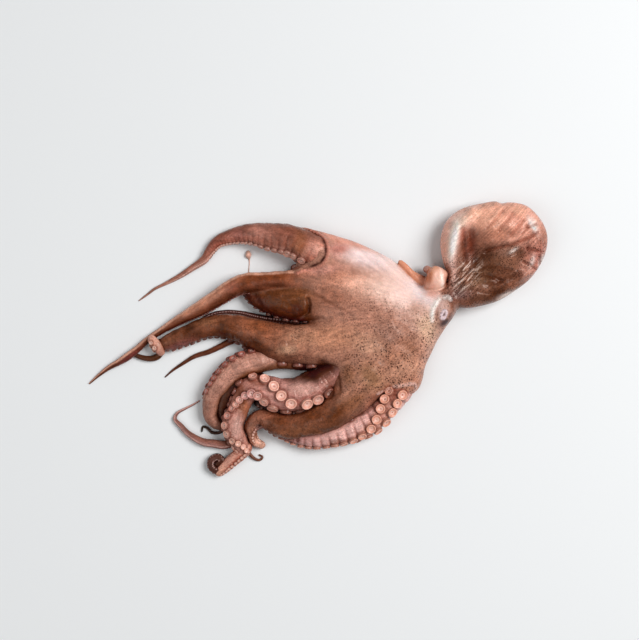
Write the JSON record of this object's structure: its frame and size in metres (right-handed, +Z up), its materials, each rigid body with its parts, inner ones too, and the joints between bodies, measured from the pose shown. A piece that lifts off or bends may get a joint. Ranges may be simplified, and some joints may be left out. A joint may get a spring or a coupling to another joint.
{
  "type": "whole raw octopus",
  "caption": "Whole raw octopus lying flat on its sucker side, sac-like mantle at one end and curling suckered arms trailing from the other.",
  "frame": {"origin": "on the surface that the octopus lies on, under the middle of its outline", "axes": "+Z up from the surface, the mantle at +X +Y and the arms trailing towards -X"},
  "size_m": [0.4592, 0.2742, 0.04],
  "materials": {
    "skin": "wet raw skin, mottled brown over pink, glossy"
  },
  "bodies": {
    "root": {"octopus": "skin"}
  },
  "joints": []
}
